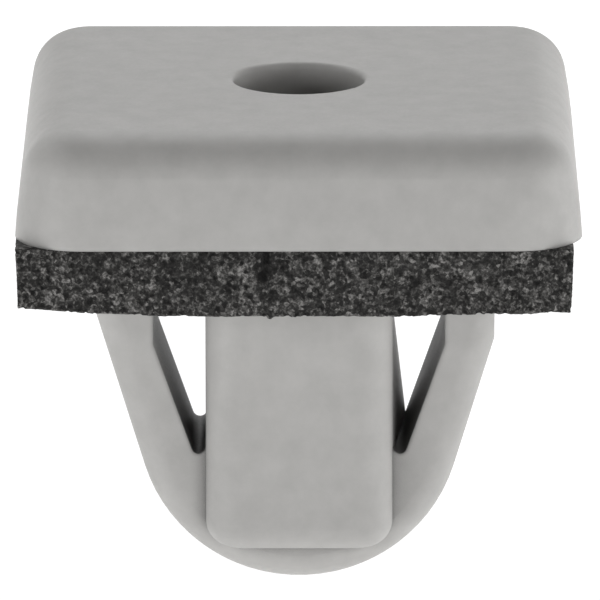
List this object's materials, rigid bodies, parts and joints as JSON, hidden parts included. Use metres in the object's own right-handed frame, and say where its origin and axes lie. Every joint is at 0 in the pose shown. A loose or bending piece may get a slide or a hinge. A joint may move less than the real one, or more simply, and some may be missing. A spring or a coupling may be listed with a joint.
{
  "type": "molding grommet",
  "caption": "Square-headed snap-in grommet with a blind screw bore, spring wings on a round-nosed stem and a foam seal under the head, for fixing mouldings to vehicle panels.",
  "frame": {"origin": "on the screw bore's axis, at the underside of the foam seal, which is the face of the panel", "axes": "+Z along the bore axis towards the head, X across the two wings, -Y towards the front of the picture"},
  "size_m": [0.017, 0.017, 0.0153],
  "materials": {
    "nylon": "satin moulded nylon, pale warm grey",
    "foam": "open-cell sponge, dark grey"
  },
  "bodies": {
    "root": {"grommet_body": "nylon", "foam_seal": "foam"}
  },
  "joints": []
}
